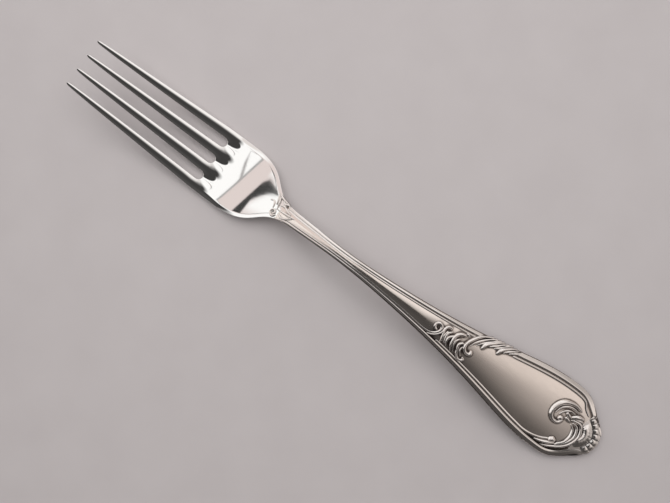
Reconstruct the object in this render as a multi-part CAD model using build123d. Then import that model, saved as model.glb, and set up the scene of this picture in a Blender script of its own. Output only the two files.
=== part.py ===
from build123d import *
import os
from math import cos, radians, sin, sqrt
from scipy.interpolate import PchipInterpolator

# A four-tine table fork with a rococo handle, lying face up with its tines towards -X.
# Stations run in millimetres from the tine tips to the end of the handle.
# Sides are measured from the middle line, positive to the right of a hand that holds the fork.

# Stretches along the fork
TINE_LENGTH = 47.0
ROOT_LENGTH = 30.0
STEM_LENGTH = 59.0
BLADE_LENGTH = 69.0

# Tines
TINE_NAMES = ("outer_left", "inner_left", "inner_right", "outer_right")
TINE_TIP_WIDTH = 0.8
TINE_ROOT_WIDTH = 3.5
TINE_TIP_PITCH = 5.5
TINE_ROOT_PITCH = 6.65
TINE_CROWN = 0.45
TINE_TIP_RISE = 14.4
SLOT_DEPTH = 2.5

# Widths of the plan outline, head to handle
HEAD_WIDTH = 23.6
NECK_WIDTH = 6.8
STEM_WIDTH = 4.4
FLARE_WIDTH = 6.7
KNOT_WIDTH = 12.6
SPRAY_WIDTH = 17.6
BLADE_WIDTH = 25.0
SHELL_WIDTH = 14.6

# Where those widths lie: past the root's front, past the neck, past the blade's start, past the knot, before the end
HEAD_WIDEST = 8.0
WAIST = 21.0
KNOT_OFFSET = 14.0
SPRAY_OFFSET = 14.0
TIP_LENGTH = 16.5
SHELL_LENGTH = 5.6

# Thicknesses from the underside to the ridge of the face
TIP_THICKNESS = 0.9
ROOT_THICKNESS = 2.3
NECK_THICKNESS = 3.3
STEM_THICKNESS = 4.3
KNOT_THICKNESS = 3.3
BLADE_THICKNESS = 2.9
END_THICKNESS = 2.2

# Side profile: the belly rests on the table, the handle's end all but touches it, the stem arches over it
LAND_START = 7.5
LAND_LENGTH = 6.0
NECK_RISE = 3.3
ARCH_RISE = 9.7
ARCH_OFFSET = 21.0
KNOT_RISE = 7.9
END_LAND = 5.0
END_CLEARANCE = 0.02

# Rounding of the handle's section
STEM_DOME = 1.1
BLADE_DOME = 1.5
END_DOME = 1.2
STEM_BELLY = 1.0
KNOT_BELLY = 0.3
NEARLY_FLAT = 0.03

# Border along both edges: an outer thread, a groove and an inner bead
STEM_THREAD = 1.0
BLADE_THREAD = 1.75
STEM_BEAD = 0.6
BLADE_BEAD = 1.0
GROOVE = 0.1
EDGE_MARGIN = 0.06
BORDER_START = 2.0

# Strokes of threads and ornament: height as a share of the width, and how far they clear the face
RELIEF = 0.34
SEAT = 0.05

# Shell at the end of the handle
FLUTES = 9
FLUTE_FAN = 62.0
FLUTE_INNER = 5.0
FLUTE_OUTER = 7.8
SHELL_CENTRE = 9.0

# Palmette where the neck meets the root
PALMETTE_LOBES = 5
PALMETTE_BASE = 4.2
PALMETTE_LENGTH = 8.5
LOBE_STEP = 0.8

# Stations worked out from the stretches
ROOT_START = TINE_LENGTH
NECK = ROOT_START + ROOT_LENGTH
BLADE_START = NECK + STEM_LENGTH
END = BLADE_START + BLADE_LENGTH
BELLY_START = ROOT_START + LAND_START
BELLY_END = BELLY_START + LAND_LENGTH
NARROWEST = NECK + WAIST
ARCH = NARROWEST + ARCH_OFFSET
KNOT = BLADE_START + KNOT_OFFSET
WIDEST = END - TIP_LENGTH
NOTCH = END - SHELL_LENGTH
FLARE = (NARROWEST + KNOT) / 2

# Margins of the cutting shapes and the step for slopes
OVERHANG = 1.0
TALL = 2 * (TINE_TIP_RISE + ARCH_RISE)
STEP = 0.05


def between(start, stop, share):
    return start + (stop - start) * share


def stations(start, stop, count):
    """Evenly spaced stations, both ends included."""
    return [between(start, stop, index / (count - 1)) for index in range(count)]


def curve(*points):
    """A smooth line through (station, value) points that never overshoots them."""
    places, values = zip(*points)
    line = PchipInterpolator(places, values)
    return lambda station: float(line(station))


underside = curve(
    (0, TINE_TIP_RISE),
    (between(0, BELLY_START, 0.22), TINE_TIP_RISE * 0.69),
    (between(0, BELLY_START, 0.5), TINE_TIP_RISE * 0.345),
    (between(0, BELLY_START, 0.78), TINE_TIP_RISE * 0.09),
    (BELLY_START, 0),
    (BELLY_END, 0),
    (NECK, NECK_RISE),
    (NARROWEST, between(NECK_RISE, ARCH_RISE, 0.75)),
    (ARCH, ARCH_RISE),
    (KNOT, KNOT_RISE),
    (between(KNOT, END - END_LAND, 0.6), KNOT_RISE * 0.44),
    (END - END_LAND, END_CLEARANCE),
    (END + OVERHANG, END_CLEARANCE),
)
thickness = curve(
    (0, TIP_THICKNESS),
    (ROOT_START, ROOT_THICKNESS),
    (BELLY_END, ROOT_THICKNESS),
    (NECK, NECK_THICKNESS),
    (NARROWEST, STEM_THICKNESS),
    (KNOT, KNOT_THICKNESS),
    (WIDEST, BLADE_THICKNESS),
    (END, END_THICKNESS),
    (END + OVERHANG, END_THICKNESS),
)
half_width = curve(
    (NECK, NECK_WIDTH / 2),
    (between(NECK, NARROWEST, 0.35), between(NECK_WIDTH, STEM_WIDTH, 0.68) / 2),
    (NARROWEST, STEM_WIDTH / 2),
    (FLARE, FLARE_WIDTH / 2),
    (KNOT, KNOT_WIDTH / 2),
    (KNOT + SPRAY_OFFSET, SPRAY_WIDTH / 2),
    (between(KNOT + SPRAY_OFFSET, WIDEST, 0.75), between(SPRAY_WIDTH, BLADE_WIDTH, 0.93) / 2),
    (WIDEST, BLADE_WIDTH / 2),
    (between(WIDEST, NOTCH, 0.55), between(BLADE_WIDTH, SHELL_WIDTH, 0.22) / 2),
    (NOTCH, SHELL_WIDTH / 2),
)
face_dome = curve(
    (NECK, NEARLY_FLAT),
    (NARROWEST, STEM_DOME),
    (KNOT, BLADE_DOME),
    (WIDEST, BLADE_DOME),
    (END + OVERHANG, END_DOME),
)
under_dome = curve(
    (NECK, NEARLY_FLAT),
    (NARROWEST, STEM_BELLY),
    (KNOT, KNOT_BELLY),
    (WIDEST, NEARLY_FLAT),
    (END + OVERHANG, NEARLY_FLAT),
)
thread_width = curve((NECK, STEM_THREAD), (NARROWEST, STEM_THREAD), (WIDEST, BLADE_THREAD), (END, BLADE_THREAD))
bead_width = curve((NECK, STEM_BEAD), (NARROWEST, STEM_BEAD), (WIDEST, BLADE_BEAD), (END, BLADE_BEAD))


def thread_inset(station):
    return EDGE_MARGIN + thread_width(station) / 2


def bead_inset(station):
    return EDGE_MARGIN + thread_width(station) + GROOVE + bead_width(station) / 2


def along(station):
    """Places a station on the X axis, with the middle of the fork at the origin."""
    return station - END / 2


def ridge(station):
    return underside(station) + thickness(station)


def arc_drop(station, side, dome):
    """How far a section's arc has fallen at a side; the root is flat, and past its widest the body stays as wide."""
    section = max(station, NECK)
    half = half_width(min(section, WIDEST))
    radius = (half**2 + dome(section) ** 2) / (2 * dome(section))
    return radius - sqrt(radius**2 - side**2)


def on_face(station, side):
    return Vector(along(station), side, ridge(station) - arc_drop(station, side, face_dome))


def face_normal(station, side):
    lengthwise = on_face(station + STEP, side) - on_face(station - STEP, side)
    crosswise = on_face(station, side + STEP) - on_face(station, side - STEP)
    return lengthwise.cross(crosswise).normalized()


def tine(index):
    """One tapering tine, crowned on top, that flattens where it runs into the root."""
    sections = []
    for share in (0, 0.1, 0.3, 0.55, 0.8, 1):
        station = share * TINE_LENGTH
        x = along(station)
        pitch = between(TINE_TIP_PITCH, TINE_ROOT_PITCH, share)
        middle = (index - (len(TINE_NAMES) - 1) / 2) * pitch
        half = between(TINE_TIP_WIDTH, TINE_ROOT_WIDTH, share**0.6) / 2
        low = underside(station)
        high = ridge(station)
        shoulder = high - NEARLY_FLAT - TINE_CROWN * (1 - share) ** 0.35
        left = middle - half
        right = middle + half
        edges = [
            Line((x, left, low), (x, right, low)),
            Line((x, right, low), (x, right, shoulder)),
            ThreePointArc((x, right, shoulder), (x, middle, high), (x, left, shoulder)),
            Line((x, left, shoulder), (x, left, low)),
        ]
        sections.append(Face(Wire(edges)))
    return loft(sections)


def root_plate():
    """The plate between tines and neck, bent in side view, with a flat land that meets the table."""
    places = [ROOT_START, ROOT_START + SLOT_DEPTH, BELLY_START] + stations(BELLY_END, NECK, 4)
    top = Spline([(along(s), 0, ridge(s)) for s in places])
    front = Spline([(along(s), 0, underside(s)) for s in stations(ROOT_START, BELLY_START, 3)])
    rear = Spline([(along(s), 0, underside(s)) for s in stations(BELLY_END, NECK, 4)])
    edges = [top, Line(top @ 1, rear @ 1), rear, Line(rear @ 0, front @ 1), front, Line(front @ 0, top @ 0)]
    return extrude(Face(Wire(edges)), HEAD_WIDTH, dir=(0, 1, 0), both=True)


def root_outline():
    """Plan of the root: straight front, swelling sides and an ogee into the neck."""
    front_half = (len(TINE_NAMES) - 1) / 2 * TINE_ROOT_PITCH + TINE_ROOT_WIDTH / 2
    head_half = HEAD_WIDTH / 2
    neck_half = NECK_WIDTH / 2
    shoulder = ROOT_START + HEAD_WIDEST
    points = [
        (ROOT_START, front_half),
        (shoulder, head_half),
        (between(shoulder, NECK, 0.37), between(head_half, neck_half, 0.055)),
        (between(shoulder, NECK, 0.68), between(head_half, neck_half, 0.41)),
        (between(shoulder, NECK, 0.88), between(head_half, neck_half, 0.84)),
        (NECK, neck_half),
    ]
    right = Spline([(along(s), side, 0) for s, side in points])
    left = right.mirror(Plane.XZ)
    edges = [right, Line(right @ 1, left @ 1), left, Line(left @ 0, right @ 0)]
    return Face(Wire.combine(edges)[0])


def slot_ends():
    """The rounded ends of the gaps between the tines."""
    gaps = len(TINE_NAMES) - 1
    width = TINE_ROOT_PITCH - TINE_ROOT_WIDTH
    reach = SLOT_DEPTH - width / 2
    cuts = []
    for gap in range(gaps):
        middle = (gap - (gaps - 1) / 2) * TINE_ROOT_PITCH
        cuts.append(Pos(along(ROOT_START), middle) * Box(2 * reach, width, TALL))
        cuts.append(Pos(along(ROOT_START) + reach, middle) * Cylinder(width / 2, TALL))
    return cuts


def root():
    prism = extrude(root_outline(), TALL, dir=(0, 0, 1), both=True) - slot_ends()
    return root_plate() & prism


def handle_section(station, margin=0.0):
    """A section of the handle: domed face, upright edges and a rounded underside."""
    x = along(station)
    reach = half_width(min(station, WIDEST)) + margin
    low = underside(station)
    low_edge = low + arc_drop(station, reach, under_dome)
    high_edge = on_face(station, reach).Z
    edges = [
        ThreePointArc((x, -reach, low_edge), (x, 0, low), (x, reach, low_edge)),
        Line((x, reach, low_edge), (x, reach, high_edge)),
        ThreePointArc((x, reach, high_edge), (x, 0, ridge(station)), (x, -reach, high_edge)),
        Line((x, -reach, high_edge), (x, -reach, low_edge)),
    ]
    return Face(Wire(edges))


def stem():
    places = stations(NECK, NARROWEST, 8) + stations(NARROWEST, BLADE_START, 8)[1:]
    return loft([handle_section(station) for station in places])


def blade_outline():
    """Plan of the handle's blade: it swells to its widest place, draws in and ends in a rounded shell."""
    places = [BLADE_START] + stations(KNOT, WIDEST, 4) + stations(WIDEST, NOTCH, 4)[1:]
    right = Spline([(along(s), half_width(s), 0) for s in places])
    left = right.mirror(Plane.XZ)
    cap = along(between(NOTCH, END, 0.7))
    cap_half = SHELL_WIDTH * 0.31
    right_cap = ThreePointArc(right @ 1, (cap, cap_half, 0), (along(END), 0, 0))
    left_cap = ThreePointArc(left @ 1, (cap, -cap_half, 0), (along(END), 0, 0))
    edges = [right, right_cap, left_cap, left, Line(left @ 0, right @ 0)]
    return Face(Wire.combine(edges)[0])


def handle_blade():
    """The blade is a domed strip trimmed to its outline."""
    places = stations(BLADE_START, END - END_LAND, 20) + stations(END - END_LAND, END + OVERHANG, 4)[1:]
    strip = loft([handle_section(station, margin=OVERHANG) for station in places])
    return strip & extrude(blade_outline(), TALL, dir=(0, 0, 1), both=True)


def stroke(track):
    """A raised stroke through (station, side, width) points: an arc in section that sits on the face."""
    sections = []
    for index, (station, side, width) in enumerate(track):
        ahead = track[min(index + 1, len(track) - 1)]
        behind = track[max(index - 1, 0)]
        run = ahead[0] - behind[0]
        swing = ahead[1] - behind[1]
        length = sqrt(run**2 + swing**2)
        foot = on_face(station, side)
        normal = face_normal(station, side)
        heading = on_face(station + run / length * STEP, side + swing / length * STEP) - foot
        plane = Plane(foot, x_dir=normal.cross(heading), z_dir=heading)

        def beside(offset):
            place = on_face(station - offset * swing / length, side + offset * run / length)
            return (offset, (place - foot).dot(normal) + SEAT)

        base = Spline(beside(-width / 2), (0, SEAT), beside(width / 2))
        crest = ThreePointArc(base @ 1, (0, width * RELIEF), base @ 0)
        sections.append(plane * make_face([base, crest]))
    return loft(sections)


def border(places, inset, width, hand):
    """A track that keeps its inset from the outline, tapered at both ends; hand is 1 for right, -1 for left."""
    track = []
    for station in places:
        lean = (half_width(station + STEP) - half_width(station - STEP)) / (2 * STEP)
        length = sqrt(1 + lean**2)
        reach = inset(station)
        taper = 0.5 if station in (places[0], places[-1]) else 1.0
        side = half_width(station) - reach / length
        track.append((station + reach * lean / length, hand * side, width(station) * taper))
    return track


def blade_edge(start, stop):
    """Stations along the blade's edge, closer together where it draws in to the shell."""
    return stations(start, WIDEST, 8) + stations(WIDEST, stop, 6)[1:]


def at_knot(*points):
    """Turns (distance past the knot, share of the half width, stroke width) into a track."""
    return [(KNOT + past, share * half_width(KNOT + past), width) for past, share, width in points]


def at_tip(*points):
    """Turns (distance from the end, share of the blade's half width, stroke width) into a track."""
    return [(END - back, share * BLADE_WIDTH / 2, width) for back, share, width in points]


def thread_right_stem():
    return stroke(border(stations(NECK + BORDER_START, KNOT + 1.2, 20), thread_inset, thread_width, 1))


def thread_right_blade():
    return stroke(border(blade_edge(KNOT + SPRAY_OFFSET + 3, NOTCH - 2.2), thread_inset, thread_width, 1))


def thread_left():
    places = stations(NECK + BORDER_START, KNOT, 20) + blade_edge(KNOT, NOTCH - 2.2)[1:]
    return stroke(border(places, thread_inset, thread_width, -1))


def bead_right_stem():
    return stroke(border(stations(NECK + BORDER_START, KNOT, 16), bead_inset, bead_width, 1))


def bead_right_blade():
    return stroke(border(blade_edge(KNOT + SPRAY_OFFSET + 4.5, NOTCH - 4.5), bead_inset, bead_width, 1))


def bead_left_stem():
    """The left inner bead of the stem, which leaves the border before the knot and curls into a volute."""
    track = border(stations(NECK + BORDER_START, KNOT - 14.5, 24), bead_inset, bead_width, -1)[:-1]
    return stroke(track + at_knot(
        (-13.0, -0.56, 0.65), (-11.4, -0.46, 0.65), (-10.0, -0.24, 0.65), (-9.3, 0.02, 0.65),
        (-9.5, 0.24, 0.65), (-10.4, 0.33, 0.65), (-11.2, 0.24, 0.6), (-11.0, 0.09, 0.5),
    ))


def bead_left_blade():
    """The left inner bead of the blade, from the knot to the bud that ends it."""
    track = border(stations(KNOT - 9, END - 23, 11), bead_inset, bead_width, -1)[:-1]
    return stroke(track + at_tip(
        (22.0, -0.79, 0.75), (18.6, -0.755, 0.8), (16.2, -0.66, 0.95), (14.3, -0.57, 1.3), (13.3, -0.55, 1.0),
    ))


def neck_palmette():
    """Lobes that fan out from the neck on to the root."""
    base = NECK + PALMETTE_BASE
    lobes = []
    for lobe in range(PALMETTE_LOBES):
        spread = lobe - (PALMETTE_LOBES - 1) / 2
        reach = PALMETTE_LENGTH - LOBE_STEP * abs(spread)
        lobes.append(stroke([
            (base, 0.45 * spread, 0.4),
            (base - reach * 0.5, 0.75 * spread, 0.65),
            (base - reach * 0.85, 1.15 * spread, 0.95),
            (base - reach, 1.5 * spread, 0.6),
        ]))
    return Compound(lobes)


def knot_scrolls():
    """The rocaille knot: curled ribs across the handle and a C-scroll that closes it."""
    tracks = [
        at_knot((-6.8, 0.48, 0.5), (-8.1, 0.42, 0.8), (-8.25, 0.17, 0.9), (-7.8, -0.2, 0.9), (-7.1, -0.46, 0.5)),
        at_knot((-5.0, 0.155, 0.5), (-5.9, -0.075, 0.9), (-6.0, -0.29, 0.9), (-5.2, -0.49, 0.5)),
        at_knot((-1.95, 0.46, 0.7), (-3.4, 0.34, 1.2), (-4.2, 0.1, 1.2), (-4.05, -0.24, 1.1), (-2.9, -0.49, 0.6)),
        at_knot((-1.3, 0.12, 0.5), (-2.1, -0.04, 0.9), (-1.96, -0.235, 0.9), (-0.7, -0.52, 0.5)),
        at_knot(
            (3.3, 0.8, 0.7), (2.2, 0.68, 1.0), (1.1, 0.51, 1.2), (0.2, 0.3, 1.2), (-0.25, 0.1, 1.2),
            (0.1, -0.09, 1.1), (1.0, -0.18, 1.1), (2.0, -0.16, 1.2), (2.6, -0.05, 1.0),
        ),
        at_knot((0.2, -0.36, 0.6), (0.6, -0.5, 0.8), (1.9, -0.5, 0.6)),
    ]
    return Compound([stroke(track) for track in tracks])


def edge_sprays():
    """Three acanthus sprays that sweep from the panel to the right-hand edge."""
    tracks = [
        at_knot((3.0, 0.54, 0.6), (4.3, 0.76, 0.9), (6.6, 0.94, 0.6)),
        at_knot((5.0, 0.41, 0.8), (5.4, 0.6, 1.2), (6.8, 0.79, 1.2), (9.3, 0.95, 0.6)),
        at_knot((7.0, 0.53, 0.6), (8.3, 0.72, 0.9), (11.0, 0.93, 0.6)),
        at_knot((10.3, 0.5, 0.8), (10.6, 0.67, 1.2), (11.7, 0.83, 1.2), (13.8, 0.95, 0.6)),
        at_knot((12.2, 0.59, 0.6), (13.5, 0.72, 0.9), (15.4, 0.82, 0.6)),
    ]
    return Compound([stroke(track) for track in tracks])


def tip_scroll():
    """The large C-scroll on the panel with its volute, and the flutes that it holds."""
    tracks = [
        at_tip(
            (9.0, 0.51, 0.6), (11.7, 0.56, 1.0), (14.8, 0.54, 1.3), (17.2, 0.44, 1.6), (18.7, 0.27, 1.5),
            (19.2, 0.11, 1.3), (18.7, -0.03, 1.2), (17.6, -0.11, 1.1), (16.2, -0.1, 1.0), (15.6, 0.0, 0.9),
        ),
        at_tip((16.0, 0.36, 0.5), (13.6, 0.42, 1.0), (10.4, 0.42, 0.6)),
        at_tip((16.6, 0.24, 0.5), (14.4, 0.26, 0.9), (12.8, 0.22, 0.6)),
    ]
    return Compound([stroke(track) for track in tracks])


def tip_stem():
    """The fluted stem that swings from the scroll down to the left-hand border."""
    tracks = [
        at_tip((12.2, 0.29, 0.8), (10.8, 0.32, 1.2), (9.4, 0.35, 0.8)),
        at_tip(
            (10.6, 0.215, 0.7), (8.6, 0.17, 1.2), (7.3, 0.02, 1.3), (6.9, -0.17, 1.3),
            (7.4, -0.34, 1.2), (8.7, -0.5, 1.0), (10.4, -0.63, 0.7),
        ),
        at_tip(
            (11.2, 0.12, 0.6), (9.7, 0.06, 1.0), (8.8, -0.06, 1.1), (8.5, -0.2, 1.1),
            (9.0, -0.34, 0.9), (10.1, -0.46, 0.6),
        ),
    ]
    return Compound([stroke(track) for track in tracks])


def tip_shell():
    """The scalloped shell at the end: a smooth crescent and a fan of flutes out to the edge."""
    crescent = at_tip((6.2, 0.27, 0.6), (5.3, 0.11, 1.3), (5.2, -0.09, 1.3), (5.9, -0.26, 0.6))
    solids = [stroke(crescent)]
    for angle in stations(radians(-FLUTE_FAN), radians(FLUTE_FAN), FLUTES):
        radii = stations(FLUTE_INNER, FLUTE_OUTER, 3)
        fan = [(END - SHELL_CENTRE + radius * cos(angle), radius * sin(angle)) for radius in radii]
        widths = (0.5, 0.9, 1.0)
        solids.append(stroke([(station, side, width) for (station, side), width in zip(fan, widths)]))
    return Compound(solids)


def pieces():
    """Every piece of the fork by name."""
    named = {f"tine_{name}": tine(index) for index, name in enumerate(TINE_NAMES)}
    makers = (
        root, stem, handle_blade,
        thread_left, thread_right_stem, thread_right_blade,
        bead_left_stem, bead_left_blade, bead_right_stem, bead_right_blade,
        neck_palmette, knot_scrolls, edge_sprays, tip_scroll, tip_stem, tip_shell,
    )
    named.update({make.__name__: make() for make in makers})
    return named


os.makedirs("parts", exist_ok=True)
for node, shape in pieces().items():
    export_step(shape, f"parts/{node}.step")
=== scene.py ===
from math import cos, pi, radians, sin
import bpy
import numpy as np
from mathutils import Matrix, Vector
from mathutils.geometry import delaunay_2d_cdt


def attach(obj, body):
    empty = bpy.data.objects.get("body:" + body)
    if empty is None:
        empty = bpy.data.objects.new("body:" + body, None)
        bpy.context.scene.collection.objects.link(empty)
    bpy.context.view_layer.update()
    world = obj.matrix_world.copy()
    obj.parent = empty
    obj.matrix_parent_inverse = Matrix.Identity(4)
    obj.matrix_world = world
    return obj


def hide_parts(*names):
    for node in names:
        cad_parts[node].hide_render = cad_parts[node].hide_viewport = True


# A silver table fork, lying face up with its tines towards -X, and the ornament on its handle.
# Shapes are worked out in millimetres: stations from the tine tips, sides from the middle line.

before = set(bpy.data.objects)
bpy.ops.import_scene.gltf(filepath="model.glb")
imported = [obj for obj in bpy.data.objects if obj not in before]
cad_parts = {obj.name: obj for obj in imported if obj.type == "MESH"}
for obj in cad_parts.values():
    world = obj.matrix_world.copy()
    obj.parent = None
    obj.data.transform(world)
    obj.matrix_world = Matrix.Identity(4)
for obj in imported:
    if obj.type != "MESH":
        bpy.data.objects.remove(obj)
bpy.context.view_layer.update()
MM = 0.001

# Stations
TINE_LENGTH = 47.0
NECK = 77.0
BLADE_START = 136.0
KNOT = 150.0
WIDEST = 188.5
NOTCH = 199.4
END = 205.0
JOINTS = (TINE_LENGTH, NECK, BLADE_START)

# Tines and the slots between them
TINES = ("tine_outer_left", "tine_inner_left", "tine_inner_right", "tine_outer_right")
TIP_WIDTH = 0.8
ROOT_WIDTH = 3.5
TIP_PITCH = 5.4
ROOT_PITCH = 6.65
TIP_ROUND = 1.1
SLOT_DEPTH = 2.5
SLOT_RADIUS = (ROOT_PITCH - ROOT_WIDTH) / 2

# Shell at the end: its flutes fan out from a centre before the end, from a first bearing to a last one
SHELL_HALF = 8.05
FLUTES = 8
FAN_START = radians(-33)
FAN_STOP = radians(79)
SHELL_CENTRE = 9.0
SCALLOP = 0.3

# Mesh spacing
EDGE_STEP = 0.3
FACE_STEP = 0.45
EDGE_SHARES = (0.0, 0.04, 0.15, 0.32, 0.55, 0.78, 1.0)
INNER_OFFSETS = (0.28, 0.6, 0.95, 1.35)
JOINT_STEP = 0.35
JOINT_CLEAR = 0.12
GRID_HALF = 12.6
CELL = 0.1


# Curves

def smooth_line(*points):
    """A natural cubic spline through (station, value) points."""
    x, y = np.array(points, float).T
    gap = np.diff(x)
    count = len(x)
    system = np.eye(count)
    bend = np.zeros(count)
    for i in range(1, count - 1):
        system[i, i - 1:i + 2] = gap[i - 1], 2 * (gap[i - 1] + gap[i]), gap[i]
        bend[i] = 6 * ((y[i + 1] - y[i]) / gap[i] - (y[i] - y[i - 1]) / gap[i - 1])
    m = np.linalg.solve(system, bend)

    def at(place):
        place = np.clip(place, x[0], x[-1])
        k = np.clip(np.searchsorted(x, place, side="right") - 1, 0, count - 2)
        past, left, g = place - x[k], x[k + 1] - place, gap[k]
        cubes = (m[k] * left**3 + m[k + 1] * past**3) / (6 * g)
        return cubes + (y[k] / g - m[k] * g / 6) * left + (y[k + 1] / g - m[k + 1] * g / 6) * past

    return at


underside = smooth_line(
    (0, 14.45), (12, 9.98), (27.25, 5.0), (42.5, 1.33), (57.5, 0.03), (77, 3.33), (98, 8.1), (119, 9.7),
    (150, 7.9), (180, 3.4), (197, 0.45), (206, 0.06),
)
thickness = smooth_line(
    (0, 0.9), (25, 1.75), (47, 2.3), (60.5, 2.35), (77, 3.3), (98, 4.3), (150, 3.3), (187, 2.9), (206, 2.2),
)
half_width = smooth_line(
    (47, 11.72), (55, 11.85), (63.1, 11.34), (70, 8.36), (74.4, 4.74), (77, 3.5), (84.35, 2.6), (98, 2.2),
    (124, 3.5), (150, 6.75), (164, 9.4), (182.4, 12.55), (188.5, 12.75), (194.5, 11.65), (199.4, 8.05),
)
face_sag = smooth_line(
    (0, 0), (38, 0), (50, -0.1), (60, -0.3), (69, -0.2), (75, 0), (78, 0.15), (84, 0.35), (98, 0.5),
    (119, 0.75), (150, 1.5), (187, 1.5), (206, 1.3),
)
belly_sag = smooth_line((0, 0), (50, 0), (77, 0.25), (98, 1.0), (150, 0.4), (187, 0.15), (206, 0.1))
edge_radius = smooth_line((0, 0.09), (6, 0.11), (30, 0.13), (77, 0.18), (206, 0.2))
thread_width = smooth_line((77, 1.0), (98, 1.0), (124, 1.25), (150, 1.7), (170, 2.05), (187, 2.1), (206, 1.7))
bead_width = smooth_line((77, 0.55), (98, 0.6), (150, 0.75), (170, 0.95), (187, 1.0), (206, 1.0))

# Gaps between the thread and the bead, and between the edge and the thread
GROOVE = 0.06
EDGE_MARGIN = 0.02


def tine_pitch(station):
    """Distance between the tines' middle lines."""
    return TIP_PITCH + (ROOT_PITCH - TIP_PITCH) * np.clip(station / TINE_LENGTH, 0, 1)


def tine_middle(index, station):
    return (index - 1.5) * tine_pitch(station)


def tine_half(station):
    """Half of a tine's width, down to its rounded tip."""
    share = np.clip(station / TINE_LENGTH, 0, 1)
    width = TIP_WIDTH + (ROOT_WIDTH - TIP_WIDTH) * share**0.6
    point = np.clip(1 - station / TIP_ROUND, 0, 1)
    return width / 2 * np.sqrt(1 - point**2)


def ridge(station):
    """Height of the face along the middle line."""
    return underside(station) + thickness(station)


# Plan outline

def run_along(points):
    """How far along a polyline each of its points lies, in plan."""
    return np.concatenate([[0], np.cumsum(np.linalg.norm(np.diff(points[:, :2], axis=0), axis=1))])


def resample(points, step):
    """Evenly spaced points along a polyline, both ends kept."""
    points = np.array(points, float)
    run = run_along(points)
    count = max(2, int(round(run[-1] / step)) + 1)
    places = np.linspace(0, run[-1], count)
    return np.stack([np.interp(places, run, points[:, k]) for k in range(2)], 1)


def tine_edge(index, hand):
    """One edge of a tine from its root to its tip, finer round the tip."""
    shank = np.linspace(TINE_LENGTH, 2 * TIP_ROUND, 300)
    tip = 2 * TIP_ROUND * np.linspace(1, 0, 60) ** 2
    chains = []
    for stations, step in ((shank, EDGE_STEP), (tip, EDGE_STEP / 3)):
        sides = tine_middle(index, stations) + hand * tine_half(stations)
        chains.append(resample(np.stack([stations, sides], 1), step))
    return np.concatenate([chains[0], chains[1][1:]])


def slot_end(index):
    """The rounded end of the slot between tine index and the next one."""
    middle = tine_middle(index, TINE_LENGTH) + ROOT_PITCH / 2
    reach = SLOT_DEPTH - SLOT_RADIUS
    turn = np.linspace(-pi / 2, pi / 2, 40)
    stations = TINE_LENGTH + reach + SLOT_RADIUS * np.cos(turn)
    sides = middle + SLOT_RADIUS * np.sin(turn)
    points = [(TINE_LENGTH, middle - SLOT_RADIUS), *zip(stations, sides), (TINE_LENGTH, middle + SLOT_RADIUS)]
    return resample(points, EDGE_STEP)


def side_edge(hand):
    """The outline from the root's front to the notch before the shell, broken at each joint."""
    chains = []
    for start, stop in zip(JOINTS, (*JOINTS[1:], NOTCH)):
        stations = np.linspace(start, stop, 500)
        chains.append(resample(np.stack([stations, hand * half_width(stations)], 1), EDGE_STEP))
    return np.concatenate([chains[0], chains[1][1:], chains[2][1:]])


def flute_share(bearing):
    """How far across its flute a bearing lies, from 0 to 1."""
    return (bearing - FAN_START) / (FAN_STOP - FAN_START) * FLUTES % 1.0


def in_fan(bearing):
    """1 between the fan's first and last bearing, falling softly to 0 outside."""
    return np.clip(np.minimum(bearing - FAN_START, FAN_STOP - bearing) / 0.06 + 1, 0, 1)


def shell_edge(hand):
    """The scalloped rim of the shell, from the notch to the middle of the end."""
    turn = np.linspace(pi / 2, 0, 400)
    along = np.cos(turn) ** 1.1
    stations = NOTCH + (END - NOTCH) * along
    sides = SHELL_HALF * (1 - along) ** 0.47
    centre = END - SHELL_CENTRE
    bearing = np.arctan2(sides, stations - centre)
    lobe = flute_share(hand * bearing)
    bite = SCALLOP * (1 - np.sqrt(1 - (2 * lobe - 1) ** 2)) * in_fan(hand * bearing)
    stations = stations - bite * np.cos(bearing)
    sides = sides - bite * np.sin(bearing)
    return resample(np.stack([stations, hand * sides], 1), EDGE_STEP / 2)


def plan_outline():
    """The whole outline as one loop, and which of its points lie in the slots."""
    parts = [(shell_edge(-1)[::-1], False), (side_edge(-1)[::-1], False)]
    for index in range(len(TINES)):
        parts.append((tine_edge(index, -1), index > 0))
        parts.append((tine_edge(index, 1)[::-1], index < len(TINES) - 1))
        if index < len(TINES) - 1:
            parts.append((slot_end(index), True))
    parts += [(side_edge(1), False), (shell_edge(1), False)]
    loop = np.concatenate([chain[:-1] for chain, _ in parts])
    slot = np.concatenate([np.full(len(chain) - 1, inner) for chain, inner in parts])
    return loop, slot


def inward(loop):
    """Unit vectors into the plate; at a joint they run straight across it."""
    tangent = np.roll(loop, -1, 0) - np.roll(loop, 1, 0)
    tangent /= np.linalg.norm(tangent, axis=1)[:, None]
    normal = np.stack([tangent[:, 1], -tangent[:, 0]], 1)
    for joint in JOINTS:
        at_joint = np.abs(loop[:, 0] - joint) < 1e-6
        normal[at_joint] = np.stack([np.zeros(at_joint.sum()), np.sign(normal[at_joint, 1])], 1)
    return normal


BAND = 4.0


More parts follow.
